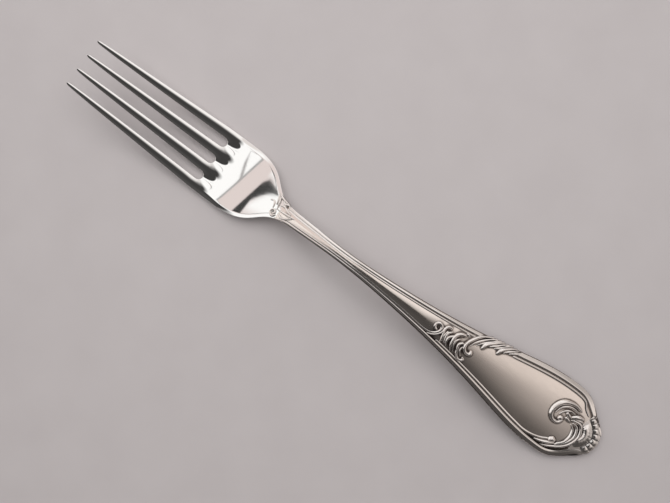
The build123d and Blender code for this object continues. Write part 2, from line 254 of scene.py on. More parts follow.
def nearest(points, starts, stops):
    """Distance from each point to a set of segments, up to a band's width, and the way from them."""
    distance = np.full(len(points), BAND)
    away = np.zeros((len(points), 2))
    lows = np.minimum(starts[:, 0], stops[:, 0])
    highs = np.maximum(starts[:, 0], stops[:, 0])
    for low in np.arange(points[:, 0].min() - 1, points[:, 0].max() + 1, BAND):
        here = np.flatnonzero((points[:, 0] >= low) & (points[:, 0] < low + BAND))
        near = (highs > low - BAND) & (lows < low + 2 * BAND)
        if not len(here) or not near.any():
            continue
        a, run = starts[near], (stops - starts)[near]
        offset = points[here][:, None, :] - a[None]
        share = np.clip((offset * run).sum(2) / (run**2).sum(1), 0, 1)
        gap = offset - share[..., None] * run
        size = np.linalg.norm(gap, axis=2)
        best = size.argmin(1)
        found = size[np.arange(len(here)), best]
        direction = gap[np.arange(len(here)), best] / np.maximum(found, 1e-9)[:, None]
        close = found < BAND
        distance[here[close]] = found[close]
        away[here[close]] = direction[close]
    return distance, away


# Heights

def ease(share):
    """A smooth step from 0 to 1."""
    share = np.clip(share, 0, 1)
    return share * share * (3 - 2 * share)


# The stem's soft ridge: its height, where it starts to rise, and where it has died out
STEM_RIDGE = 0.3
RIDGE_START = 72.0
RIDGE_END = 142.0
RIDGE_SOFTNESS = 0.05


def face(station, side):
    """The handle's face without its edges: a dome, with a soft ridge along the stem."""
    half = half_width(np.clip(station, TINE_LENGTH, WIDEST))
    share = np.clip(np.abs(side) / half, 0, 1.1)
    rise = STEM_RIDGE * ease((station - RIDGE_START) / 22) * ease((RIDGE_END - station) / 10)
    tent = np.sqrt(np.clip(side / half, -1.1, 1.1) ** 2 + RIDGE_SOFTNESS**2) - RIDGE_SOFTNESS
    return ridge(station) - face_sag(station) * share**2 - rise * (tent * 2 - share**2)


def crown(distance, reach, depth, power=2.0):
    """How far a face falls towards an edge, within a reach of it."""
    return depth * np.clip(1 - distance / reach, 0, 1) ** power


def rounding(distance, radius):
    """The quarter round at an edge."""
    share = np.clip(1 - distance / radius, 0, 1)
    return radius * (1 - np.sqrt(np.maximum(1 - share**2, 0)))


# The tines' crowns and the root's soft rim
crown_depth = smooth_line((0, 0.16), (8, 0.22), (25, 0.3), (47, 0.36), (60, 0.36))
CROWN_END = 56.0
CROWN_FADE = 10.0
OUTER_CROWN_END = 64.0
OUTER_CROWN_FADE = 12.0
SLOT_BLEND = 4.0
RIM_REACH = 1.3
RIM_POWER = 1.3
rim_depth = smooth_line((50, 0), (56, 0.12), (62, 0.18), (70, 0.14), (77, 0.06), (84, 0), (206, 0))


def crowns(station, side):
    """How far the face falls away from the tines' middle lines; past the slots it dies out in the root."""
    pitch = tine_pitch(station)
    index = np.clip(np.round(side / pitch + 1.5), 0, 3)
    off = np.abs(side - (index - 1.5) * pitch)
    on_tine = np.clip(off / np.maximum(tine_half(np.maximum(station, TIP_ROUND)), 0.3), 0, 1.1) ** 2
    edge = ROOT_WIDTH / ROOT_PITCH
    past = (1 - np.cos(pi * np.clip(2 * off / pitch, 0, 1))) / (1 - cos(pi * edge))
    blend = ease((station - TINE_LENGTH + SLOT_BLEND) / SLOT_BLEND)
    fade = np.where(
        np.abs(side) > 1.5 * pitch,
        ease((OUTER_CROWN_END - station) / OUTER_CROWN_FADE),
        ease((CROWN_END - station) / CROWN_FADE),
    )
    return crown_depth(station) * (on_tine * (1 - blend) + past * blend) * fade


def top_height(station, side, to_slot, to_rim):
    """The plain fork's upper side, from a point's distances to the slots and to the outer rim."""
    height = face(station, side) - crowns(station, side)
    height = height - crown(to_rim, RIM_REACH, rim_depth(station), RIM_POWER)
    return height - rounding(np.minimum(to_slot, to_rim), edge_radius(station))


def bottom_height(station, side, to_slot, to_rim):
    """The plain fork's underside, from the same distances."""
    half = half_width(np.clip(station, TINE_LENGTH, WIDEST))
    edge = np.minimum(to_slot, to_rim)
    height = underside(station) + belly_sag(station) * np.clip(side / half, -1.1, 1.1) ** 2
    height = height + crown(edge, np.maximum(tine_half(np.maximum(station, TIP_ROUND)), 0.4), 0.2)
    return height + rounding(edge, edge_radius(station))


def slope_normals(height, points, to_slot, slot_away, to_rim, rim_away, hand):
    """Normals of a height, from its slopes; hand is 1 for the top and -1 for the bottom."""
    step = 0.004
    slopes = []
    for axis in range(2):
        values = []
        for sign in (1, -1):
            moved = points.copy()
            moved[:, axis] += sign * step
            slot = np.maximum(to_slot + sign * step * slot_away[:, axis], 0)
            rim = np.maximum(to_rim + sign * step * rim_away[:, axis], 0)
            values.append(height(moved[:, 0], moved[:, 1], slot, rim))
        slopes.append((values[0] - values[1]) / (2 * step))
    normal = np.stack([-slopes[0], -slopes[1], np.ones(len(points))], 1) * hand
    return normal / np.linalg.norm(normal, axis=1)[:, None]


# Meshes

def to_object(name, vertices, faces, normals=None, values=None):
    """A smooth-shaded object in metres from millimetre points, with one value per point for its tarnish and
    painted shade.
    """
    mesh = bpy.data.meshes.new(name)
    points = np.array(vertices, float) - np.array([END / 2, 0, 0])
    mesh.from_pydata((points * MM).tolist(), [], faces)
    mesh.polygons.foreach_set("use_smooth", np.ones(len(mesh.polygons), bool))
    # Per-point value: low where the silver is tarnished and where shade is painted into the hollows, high on
    # clean crests.
    attribute = mesh.attributes.new("clean_unshaded", "FLOAT", "POINT")
    level = np.full(len(points), 0.5) if values is None else values
    attribute.data.foreach_set("value", np.asarray(level, np.float32))
    if normals is not None:
        mesh.normals_split_custom_set(normals)
    obj = bpy.data.objects.new(name, mesh)
    bpy.context.scene.collection.objects.link(obj)
    return obj


def inside_outline(points, starts, stops):
    """Which points lie inside the outline, by counting the edges above them."""
    inside = np.zeros(len(points), bool)
    for a, b in zip(starts, stops):
        if a[0] == b[0]:
            continue
        spans = (points[:, 0] >= min(a[0], b[0])) & (points[:, 0] < max(a[0], b[0]))
        height = a[1] + (b[1] - a[1]) * (points[:, 0] - a[0]) / (b[0] - a[0])
        inside ^= spans & (height > points[:, 1])
    return inside


def face_points(loop, normal, radius):
    """Points that fill the face: rows that follow the outline, then a staggered grid."""
    starts, stops = loop, np.roll(loop, -1, 0)
    chosen = []
    for offset in INNER_OFFSETS:
        reach = (radius + offset)[::2]
        row = loop[::2] + normal[::2] * reach[:, None]
        distance, _ = nearest(row, starts, stops)
        chosen.append(row[distance > 0.96 * reach])
    sides = np.arange(-GRID_HALF, GRID_HALF + 0.1, FACE_STEP * 0.87)
    grid = np.stack(np.meshgrid(np.arange(0, END, FACE_STEP), sides), 2)
    grid[1::2, :, 0] += FACE_STEP / 2
    grid = grid.reshape(-1, 2)
    distance, _ = nearest(grid, starts, stops)
    clear = distance > edge_radius(grid[:, 0]) + INNER_OFFSETS[-1] + 0.2
    chosen.append(grid[inside_outline(grid, starts, stops) & clear])
    points = np.concatenate(chosen)
    for station in JOINTS:
        points = points[np.abs(points[:, 0] - station) > JOINT_CLEAR]
    return points


def joint_lines(inner):
    """Points along the joints, numbered on from the inner ring, and the edges that tie them to it."""
    points, edges = [], []
    for station in JOINTS:
        ends = np.flatnonzero(np.abs(inner[:, 0] - station) < 1e-6)
        ends = ends[np.argsort(inner[ends, 1])]
        for low, high in zip(ends[::2], ends[1::2]):
            first, last = inner[low, 1], inner[high, 1]
            run = np.linspace(first, last, max(3, int((last - first) / JOINT_STEP)))
            chain = [int(low)]
            for side in run[1:-1]:
                chain.append(len(inner) + len(points))
                points.append((station, side))
            chain.append(int(high))
            edges += zip(chain, chain[1:])
    return np.array(points), edges


def plate():
    """The plain fork as one closed, smooth skin: its points, their normals and its faces."""
    loop, in_slot = plan_outline()
    normal = inward(loop)
    count = len(loop)
    radius = edge_radius(loop[:, 0])
    rings = [loop + normal * (radius * share)[:, None] for share in EDGE_SHARES]

    inner = rings[-1]
    joint_points, joint_edges = joint_lines(inner)
    flat = np.concatenate([inner, joint_points, face_points(loop, normal, radius)])
    steps = [(k, (k + 1) % count) for k in range(count)]
    fixed = steps + joint_edges
    _, _, triangles, origin, _, _ = delaunay_2d_cdt([Vector(p) for p in flat], fixed, [], 1, 1e-6)
    where = [min(o) if o else None for o in origin]

    points = np.concatenate(rings[:-1] + [flat])
    base = count * (len(rings) - 1)
    faces = []
    for ring in range(len(rings) - 1):
        near, far = ring * count, (ring + 1) * count
        faces += [(far + k, far + after, near + after, near + k) for k, after in steps]
    for triangle in triangles:
        corners = tuple(base + where[v] for v in triangle)
        a, b, c = (points[i] for i in corners)
        turn = (b[0] - a[0]) * (c[1] - a[1]) - (b[1] - a[1]) * (c[0] - a[0])
        faces.append(corners if turn > 0 else corners[::-1])

    starts, stops = loop, np.roll(loop, -1, 0)
    to_slot, slot_away = nearest(points, starts[in_slot], stops[in_slot])
    to_rim, rim_away = nearest(points, starts[~in_slot], stops[~in_slot])
    for distance, away, member in ((to_slot, slot_away, in_slot), (to_rim, rim_away, ~in_slot)):
        on_edge = np.flatnonzero(member)
        distance[on_edge] = 0
        away[on_edge] = normal[on_edge]

    tops = np.column_stack([points, top_height(*points.T, to_slot, to_rim)])
    bottoms = np.column_stack([points, bottom_height(*points.T, to_slot, to_rim)])
    up = slope_normals(top_height, points, to_slot, slot_away, to_rim, rim_away, 1)
    down = slope_normals(bottom_height, points, to_slot, slot_away, to_rim, rim_away, -1)
    sideways = np.column_stack([-normal, np.zeros(count)])
    up[:count] = sideways
    down[:count] = sideways
    total = len(points)
    lower = [tuple(total + i for i in f[::-1]) for f in faces]
    wall = [(k, after, total + after, total + k) for k, after in steps]
    return np.concatenate([tops, bottoms]), np.concatenate([up, down]), faces + lower + wall


def open_edges(faces):
    """The edges that only one face uses, in that face's direction."""
    edges = {}
    for f in faces:
        for a, b in zip(f, f[1:] + f[:1]):
            if (b, a) in edges:
                del edges[(b, a)]
            else:
                edges[(a, b)] = True
    return list(edges)


def close_loops(faces):
    """The open edges of a set of faces as loops, turned so that they close the skin."""
    following = {b: a for a, b in open_edges(faces)}
    loops = []
    while following:
        loop = [next(iter(following))]
        while loop[-1] in following:
            loop.append(following.pop(loop[-1]))
        loops.append(tuple(loop[:-1]))
    return loops


def split_plate():
    """The skin cut at the joints into the fork's plain pieces, each closed."""
    vertices, normals, skin = plate()
    groups = {}
    for f in skin:
        centre = vertices[list(f)].mean(0)
        if centre[0] < TINE_LENGTH:
            gaps = [abs(centre[1] - tine_middle(k, centre[0])) for k in range(len(TINES))]
            node = TINES[int(np.argmin(gaps))]
        elif centre[0] < NECK:
            node = "root"
        elif centre[0] < BLADE_START:
            node = "stem"
        else:
            node = "handle_blade"
        groups.setdefault(node, []).append(f)
    pieces = {}
    for node, faces in groups.items():
        caps = close_loops(faces)
        used = sorted({v for f in faces for v in f})
        index = {v: i for i, v in enumerate(used)}
        local = [tuple(index[v] for v in f) for f in faces + caps]
        spots = vertices[used]
        loop_normals = [tuple(normals[v]) for f in faces for v in f]
        middle = spots[:, 0].mean()
        for cap in caps:
            facing = 1.0 if vertices[cap[0]][0] > middle else -1.0
            loop_normals += [(facing, 0, 0)] * len(cap)
        pieces[node] = to_object(f"{node}_skin", spots, local, loop_normals, plate_tarnish_and_shade(spots))
    return pieces


# Borders: low, rounded threads and beads swept along the edges

def face_frame(station, side):
    """A point on the face and the face's normal there."""
    step = 0.02
    lengthwise = (face(station + step, side) - face(station - step, side)) / (2 * step)
    crosswise = (face(station, side + step) - face(station, side - step)) / (2 * step)
    normal = np.stack([-lengthwise, -crosswise, np.ones_like(lengthwise)], 1)
    return np.stack([station, side, face(station, side)], 1), normal / np.linalg.norm(normal, axis=1)[:, None]


# Section of the mouldings
SECTION_POINTS = 17
SECTION_POWER = 1.4
SECTION_SINK = 0.35
STEM_RISE = 0.15
BLADE_EXTRA_RISE = 0.07
END_WEAR = 0.7
END_ROUND = 0.8


def moulding_rise(station, at_edge):
    """Height as a share of width: fuller on the blade, and worn low where a thread nears the handle's end."""
    rise = STEM_RISE + BLADE_EXTRA_RISE * ease((station - 110) / 35)
    if at_edge:
        rise = rise * (1 - END_WEAR * ease((station - 189) / 8))
    return rise


def sweep(name, track, lean):
    """A moulding along (station, side, width) points; its crest leans over by a share of its width."""
    track = np.array(track, float)
    run = run_along(track)
    places = np.linspace(0, run[-1], int(run[-1] / EDGE_STEP) + 8)
    lines = [smooth_line(*zip(run, track[:, k])) for k in range(3)]
    station, side, width = (line(places) for line in lines)
    ends = np.minimum(places, run[-1] - places)
    taper = np.sqrt(np.clip(1 - np.clip(1 - ends / END_ROUND, 0, 1) ** 2, 0.02, 1))
    width = width * taper
    rise_by = moulding_rise(station, lean != 0)
    point, up = face_frame(station, side)
    ahead = np.gradient(point, axis=0)
    ahead /= np.linalg.norm(ahead, axis=1)[:, None]
    across = np.cross(up, ahead)
    place = np.linspace(-1, 1, SECTION_POINTS)
    rise = 1 - np.abs(place) ** SECTION_POWER
    arch = list(zip(lean * rise + place / 2, rise))
    profile = [(-0.5, -SECTION_SINK)] + arch + [(0.5, -SECTION_SINK)]
    vertices, faces = [], []
    size = len(profile)
    for shift, lift in profile:
        height = np.where(lift < 0, lift, lift * width * rise_by)
        vertices.append(point + across * (shift * width)[:, None] + up * height[:, None])
    rows = len(point)
    vertices = np.stack(vertices, 1).reshape(-1, 3)
    for i in range(rows - 1):
        for k in range(size):
            after = (k + 1) % size
            near, far = i * size, (i + 1) * size
            faces.append((near + k, near + after, far + after, far + k))
    faces.append(tuple(range(size - 1, -1, -1)))
    faces.append(tuple(range((rows - 1) * size, rows * size)))
    # Painted shade with tarnish at the moulding's feet and short flank; its crest and long flank stay clean.
    rubbed_unshaded = np.where(place * lean < 0, 0.9, 0.1 + 0.8 * np.sqrt(rise))
    clean_unshaded = np.concatenate([[0.1], rubbed_unshaded, [0.1]])
    return to_object(name, vertices, faces, None, np.tile(clean_unshaded, rows))


def border(start, stop, inset, width, hand):
    """A track that keeps its inset from the outline; hand is 1 for the right edge, -1 for the left."""
    stations = np.linspace(start, stop, max(8, int((stop - start) / 2.5)))
    step = 0.05
    lean = (half_width(stations + step) - half_width(stations - step)) / (2 * step)
    length = np.sqrt(1 + lean**2)
    reach = inset(stations)
    side = half_width(stations) - reach / length
    return np.stack([stations + reach * lean / length, hand * side, width(stations)], 1)


def thread_inset(station):
    return EDGE_MARGIN + thread_width(station) / 2


def bead_inset(station):
    return EDGE_MARGIN + thread_width(station) + GROOVE + bead_width(station) / 2


# Drawing grids of the ornament at the end, the knot and the neck

class Grid:
    """Ticks along and across the fork, from an origin on its plan."""

    def __init__(self, station, side, along, across):
        self.station, self.side, self.along, self.across = station, side, along, across

    def __call__(self, *points):
        """(ticks along, ticks across, width in ticks) as (station, side, width) in millimetres."""
        return [
            (self.station + along * self.along, self.side + across * self.across, width * self.across)
            for along, across, width in points
        ]


at_tip = Grid(END, 0.0, 0.338, 0.3233)
at_knot = Grid(KNOT + 0.3, 0.0, 0.3225, 0.317)
at_neck = Grid(NECK - 0.2, 0.0, 0.337, 0.318)

VOLUTE = at_knot(
    (-42, -8.9, 2.1), (-37, -8, 2.5), (-32.8, -5.4, 2.9), (-30.3, -1.8, 3.1), (-29.9, 1.6, 3.2),
    (-31.6, 4.2, 3.2), (-34.3, 4.8, 3.2), (-36.7, 3.1, 3.1), (-37.0, 0.2, 3.0), (-35.2, -1.8, 2.8),
    (-32.6, -1.9, 2.2),
)
BUD_STEM = at_tip((-54, -27.8, 2.3), (-47, -25.1, 2.6), (-42.5, -22.4, 3.0))

PALMETTE = [
    at_neck((-1, -7.5, 1.5), (-2.5, -9.6, 1.6), (-5.5, -9, 1.6), (-7, -6, 1.6), (-5.5, -3.6, 1.6),
            (-2.7, -4, 1.6), (-2.4, -6.5, 1.6), (-4, -7, 1.4)),
    at_neck((-7, 13, 1.2), (-3.5, 11.2, 2.0), (0.5, 10.2, 1.8), (4.5, 9.6, 1.2)),
    at_neck((-9.5, 13.2, 1.0), (-8.2, 10.4, 1.7), (-6.6, 6.5, 1.6), (-5.6, 3, 1.0)),
    at_neck((-13, 3, 1.0), (-10, 4, 1.6), (-7.7, 1, 1.6), (-7, -2, 1.0)),
    at_neck((-6, 10, 1.0), (-4.5, 7, 1.7), (-3.5, 3, 1.7), (-2.5, -1, 1.0)),
    at_neck((-2, 10, 1.0), (2, 7.5, 1.8), (6, 8.5, 1.8), (8, 6, 1.0)),
    at_neck((-1, 4, 1.0), (3, 5, 1.8), (8, 3, 1.7), (12, 2, 1.0)),
    at_neck((-1, -1, 1.0), (5, -0.5, 1.9), (11, -0.2, 1.8), (17, 0.5, 1.0)),
    at_neck((1, -4, 1.0), (4, -5.5, 1.8), (7.5, -6, 1.8), (11, -4, 1.6), (15, -1, 1.0)),
    at_neck((0.5, -10, 1.0), (4, -9, 1.6), (8, -7.8, 1.0)),
]
KNOT_SCROLLS = [
    at_knot((-39, -10.3, 1.2), (-34, -8.3, 1.7), (-30, -4.8, 1.7), (-27.8, -0.3, 1.6), (-28, 3.7, 1.2)),
    at_knot((-21.5, 7.7, 2.4), (-25, 7.3, 2.8), (-26.8, 4.2, 2.4), (-26.2, -1.3, 1.8), (-24.5, -6.3, 1.6),
            (-23.5, -9.8, 1.2)),
    at_knot((-23.5, 2.7, 1.2), (-24, -2.3, 1.5), (-22.5, -7.3, 1.2)),
    at_knot((-19.5, 4.7, 1.8), (-22, 2.2, 2.3), (-21.8, -3.3, 1.9), (-20, -8.3, 1.2)),
    at_knot((-16.5, 2.2, 1.8), (-19.2, -1.3, 2.6), (-19, -5.3, 2.3), (-16.5, -9.8, 1.4)),
    at_knot((-7, 9.7, 3.2), (-11, 8.5, 3.6), (-14, 5.2, 3.4), (-14.8, 0.2, 3.2), (-13.7, -5.3, 2.8),
            (-10.5, -10.8, 1.6)),
    at_knot((-9, 4.2, 1.2), (-11.5, 0.7, 2.0), (-11, -4.3, 1.8), (-8, -9.8, 1.2)),
    at_knot((-5, 2.2, 2.4), (-7.2, -0.8, 2.8), (-6.2, -4.8, 2.4), (-2.5, -10.3, 1.4)),
    at_knot((-3, -1.3, 1.2), (-3, -4.3, 1.8), (0.5, -9.3, 1.2)),
    at_knot((-6, 12.7, 1.4), (-4.5, 12.4, 2.0), (-2.5, 11.2, 1.4)),
    at_knot((18, 25.0, 1.6), (10.5, 20.9, 2.4), (5, 16.3, 3.0), (1, 10.2, 3.2), (-1.3, 4.7, 3.4),
            (-1.2, 0.7, 3.4), (1, -2.3, 3.2), (4.5, -3.6, 3.2), (7.7, -2.3, 3.6), (7, -0.1, 3.4)),
    at_knot((-6, -6, 1.4), (-4, -9.5, 2.2), (-0.7, -12.4, 2.6), (3.4, -12.6, 2.6), (5.4, -10.6, 2.2),
            (4, -9.5, 1.6)),
]
EDGE_SPRAYS = [
    at_knot((22, 25.8, 1.4), (14, 20.2, 2), (8.5, 14.6, 2.2), (4.5, 8.5, 2), (3, 4.7, 1.2)),
    at_knot((26, 27.1, 1.2), (18, 20.1, 1.8), (12, 14.3, 1.7), (8, 8.7, 1)),
    at_knot((14, 10.1, 3.4), (15, 14.1, 4), (19, 18.5, 3.2), (24, 23.0, 2.4), (30, 27.6, 1.4)),
    at_knot((19, 15.2, 1.5), (23, 18.5, 2), (29, 24.1, 1.8), (35, 28.6, 1.2)),
    at_knot((25, 17.0, 1.3), (29, 21.1, 1.8), (34, 25.8, 1.7), (39, 29.5, 1.2)),
    at_knot((29.5, 15.2, 3.4), (31, 19.1, 4), (34.5, 23.0, 3.2), (39, 26.5, 2.4), (44, 29.7, 1.4)),
    at_knot((35, 19.1, 1.5), (38, 22.4, 2.2), (43, 26.3, 2), (49, 29.7, 1.2)),
    at_knot((40, 21.3, 1.2), (44, 24.3, 1.8), (50, 27.1, 1.8), (56, 28.9, 1.2)),
]
TIP_SCROLL = [
    at_tip((-32, 18.7, 2.0), (-39, 20.2, 3.0), (-46, 19.2, 4.2), (-52, 16.2, 4.8), (-56, 11.2, 4.6),
           (-57.7, 5.2, 4.4), (-56.7, -0.3, 4.0), (-53.5, -3.8, 3.6), (-49.5, -4.8, 3.4),
           (-45.5, -3.3, 3.2), (-43.8, -0.2, 3.0)),
    at_tip((-47, 0.9, 4.0), (-45.8, 1.6, 4.2), (-45.2, 2.0, 3.4)),
    at_tip((-33, 15.2, 1.4), (-41, 16.2, 2.1), (-47, 14.2, 2.1), (-51.5, 9.2, 1.9), (-53, 3.2, 1.2)),
    at_tip((-36, 12.7, 1.2), (-42, 12.2, 1.9), (-46.5, 8.7, 1.9), (-49, 4.2, 1.1)),
    at_tip((-42.5, 8.9, 2.4), (-40, 7.9, 3.2), (-37.5, 7.2, 2.4)),
    at_tip((-41, 4.4, 2.4), (-38, 3.7, 3.0), (-35.5, 3.2, 2.0)),
]
TIP_STEM = [
    at_tip((-36, 8.8, 3.0), (-32, 11.5, 4.6), (-26.5, 13.2, 3.0)),
    at_tip((-33, 8.0, 2.0), (-29, 9.6, 2.7), (-24.5, 10.2, 1.8)),
    at_tip((-35, 5.7, 1.6), (-30, 7.2, 2.6), (-25, 6.7, 3.1), (-21.5, 2.2, 3.3), (-20, -4.3, 3.3),
           (-21.5, -11.8, 3.1), (-25, -18.3, 2.8), (-30.5, -23.8, 2.4), (-37, -28.3, 1.5)),
    at_tip((-32, 4.2, 1.2), (-27.5, 3.2, 2.3), (-24.5, -1.8, 2.7), (-23.7, -7.8, 2.7), (-25.7, -13.8, 2.5),
           (-29.5, -19.3, 2.2), (-34, -23.3, 1.4)),
    at_tip((-33, 1.7, 1.2), (-29.5, -0.8, 2.1), (-27.5, -5.8, 2.3), (-27.5, -11.8, 2.3), (-30, -17.8, 1.9),
           (-33.5, -21.8, 1.2)),
    at_tip((-41, -21.6, 4.4), (-39.3, -20.6, 5.0), (-37.8, -20.6, 3.6)),
    at_tip((-54, -30.8, 1.2), (-47, -28.8, 2.4), (-41, -25.8, 2.6), (-36, -23.3, 1.4)),
    at_tip((-46, -32.2, 1.0), (-40, -29.6, 2.0), (-34.5, -26.2, 1.2)),
]


# Each ornament's strokes, and their height as a share of their width
ORNAMENT = {
    "neck_palmette": (PALMETTE, 0.45),
    "knot_scrolls": (KNOT_SCROLLS, 0.48),
    "edge_sprays": (EDGE_SPRAYS, 0.44),
    "tip_scroll": (TIP_SCROLL, 0.42),
    "tip_stem": (TIP_STEM, 0.42),
}
FULLNESS = 1.18

# How clean silver stays away from raised work, and on the ornaments that are rubbed most; nearer raised work
# it takes tarnish and painted shade
CLEAN = 0.62
CLEANER = {"neck_palmette": 0.72, "tip_shell": 0.85}

# Relief of the ornament on a fine raster over the handle
RASTER_START = 70.0
RASTER_HALF = 13.5
RASTER_S = np.arange(RASTER_START, END + 0.6, CELL)
RASTER_Y = np.arange(-RASTER_HALF, RASTER_HALF + CELL / 2, CELL)
LOW = -0.3
SKIRT = -0.2
BED_HEIGHT = 0.25


def soft_max(a, b, blend=0.06):
    """The larger of two heights, with a fillet where they meet."""
    overlap = np.clip(1 - np.abs(a - b) / blend, 0, 1)
    return np.maximum(a, b) + overlap**2 * blend / 4


def lay_stroke(field, stroke, relief):
    """Raises the raster along one stroke, round in section and tapered at both ends."""
    stroke = np.array(stroke, float)
    run = run_along(stroke)
    places = np.linspace(0, run[-1], int(run[-1] / 0.2) + 4)
    station, side, width = (smooth_line(*zip(run, stroke[:, k]))(places) for k in range(3))
    width = width * FULLNESS
    line = np.stack([station, side], 1)
    margin = width.max() / 2 + 0.5
    rows = np.flatnonzero((RASTER_S > station.min() - margin) & (RASTER_S < station.max() + margin))
    cols = np.flatnonzero((RASTER_Y > side.min() - margin) & (RASTER_Y < side.max() + margin))
    spots = np.stack(np.meshgrid(RASTER_S[rows], RASTER_Y[cols], indexing="ij"), 2).reshape(-1, 2)
    a, ahead = line[:-1], np.diff(line, axis=0)
    offset = spots[:, None, :] - a[None]
    share = np.clip((offset * ahead).sum(2) / (ahead**2).sum(1), 0, 1)
    size = np.linalg.norm(offset - share[..., None] * ahead, axis=2)
    best = size.argmin(1)
    pick = np.arange(len(spots))
    local = width[best] + (width[best + 1] - width[best]) * share[pick, best]
    spread = 2 * size[pick, best] / local
    dome = np.clip(1 - spread**2, 0, 1)
    height = relief * local * np.where(spread < 1, 0.35 * np.sqrt(dome) + 0.65 * dome, -1.2 * (spread - 1))
    height = np.maximum(height, LOW).reshape(len(rows), len(cols))
    window = np.ix_(rows, cols)
    field[window] = soft_max(field[window], height)


def blur(field, radius):
    """A soft average over a radius in cells, along both axes."""
    reach = int(3 * radius)
    kernel = np.exp(-0.5 * (np.arange(-reach, reach + 1) / radius) ** 2)
    kernel /= kernel.sum()
    for axis in range(2):
        padded = np.pad(field, [(reach, reach) if k == axis else (0, 0) for k in range(2)], mode="edge")
        middle = tuple(slice(reach, -reach) if k == axis else slice(None) for k in range(2))
        field = sum(w * np.roll(padded, reach - i, axis)[middle] for i, w in enumerate(kernel))
    return field


# Shares of the shell's radius: the crescent's crest and slopes, and the flutes' start; then its height in mm
CRESCENT = 0.43
CRESCENT_RISE = 0.12
CRESCENT_FALL = 0.24
FLUTE_START = 0.64
CRESCENT_HEIGHT = 0.6


def shell_field():
    """A smooth crescent, a hollow beyond it, and a fan of flutes that rise to the scalloped rim."""
    s, y = np.meshgrid(RASTER_S, RASTER_Y, indexing="ij")
    centre = END - SHELL_CENTRE
    bearing, radius = np.arctan2(y, s - centre), np.hypot(s - centre, y)
    field = np.full(s.shape, LOW)
    for hand in (1, -1):
        rim = shell_edge(hand)
        rim_bearing = np.abs(np.arctan2(rim[:, 1], rim[:, 0] - centre))
        rim_radius = np.hypot(rim[:, 0] - centre, rim[:, 1])
        order = np.argsort(rim_bearing)
        share = radius / np.interp(np.abs(bearing), rim_bearing[order], rim_radius[order])
        off = share - CRESCENT
        slope = np.where(off < 0, -off / CRESCENT_RISE, off / CRESCENT_FALL)
        crescent = CRESCENT_HEIGHT * np.clip(1 - slope**2, 0, 1) * ease((1.15 - np.abs(bearing)) / 0.5)
        lobe = np.sqrt(np.clip(1 - (2 * flute_share(bearing) - 1) ** 2, 0, 1))
        flutes = ease((share - FLUTE_START) / 0.16) * (0.1 + 0.26 * lobe) * in_fan(bearing)
        height = np.maximum(crescent, flutes) * ease((0.97 - share) / 0.12)
        inside = (share < 0.99) & (share > 0.28) & (hand * y >= 0) & (np.abs(bearing) < 1.25)
        field[inside] = np.maximum(height, 0.02)[inside]
    return field


def sample(field, points):
    """Values of a raster at (station, side) points."""
    row = np.clip((points[:, 0] - RASTER_S[0]) / CELL, 0, len(RASTER_S) - 1.001)
    col = np.clip((points[:, 1] - RASTER_Y[0]) / CELL, 0, len(RASTER_Y) - 1.001)
    i, j = row.astype(int), col.astype(int)
    u, v = row - i, col - j
    low = field[i, j] * (1 - v) + field[i, j + 1] * v
    high = field[i + 1, j] * (1 - v) + field[i + 1, j + 1] * v
    return low * (1 - u) + high * u


def border_field():
    """The heights of threads and beads, for the tarnish and painted shade beside them."""
    s, y = np.meshgrid(RASTER_S, RASTER_Y, indexing="ij")
    edge = half_width(np.clip(s, NECK, NOTCH)) - np.abs(y)
    field = np.full(s.shape, LOW)
    for inset, width in ((thread_inset, thread_width), (bead_inset, bead_width)):
        spread = np.clip(np.abs(edge - inset(s)) / (width(s) / 2), 0, 2)
        field = np.maximum(field, 0.4 * width(s) * (1 - spread**2))
    field[s < NECK + 2] = LOW
    return np.maximum(field, LOW)


fields = {}
for node, (strokes, relief) in ORNAMENT.items():
    fields[node] = np.full((len(RASTER_S), len(RASTER_Y)), LOW)
    for stroke in strokes:
        lay_stroke(fields[node], stroke, relief)
    bed = ease(1.6 * blur((fields[node] > 0).astype(float), 0.7 / CELL) - 0.4)
    fields[node] = fields[node] + BED_HEIGHT * bed
fields["tip_shell"] = shell_field()
everything = border_field()
lay_stroke(everything, VOLUTE, 0.4)
for field in fields.values():
    everything = np.maximum(everything, field)
standing = np.clip(everything, 0, None)
around = blur(standing, 0.5 / CELL)


def plate_tarnish_and_shade(points):
    """Tarnish and painted shade of the plain pieces: darker in the narrow places beside raised work."""
    by_neck = 0.25 * ease((86 - points[:, 0]) / 6)
    clean_unshaded = CLEAN + by_neck - sample(around, points[:, :2]) / 0.36
    clean_unshaded[points[:, 0] < RASTER_START] = CLEAN
    return np.clip(clean_unshaded, 0, 1)


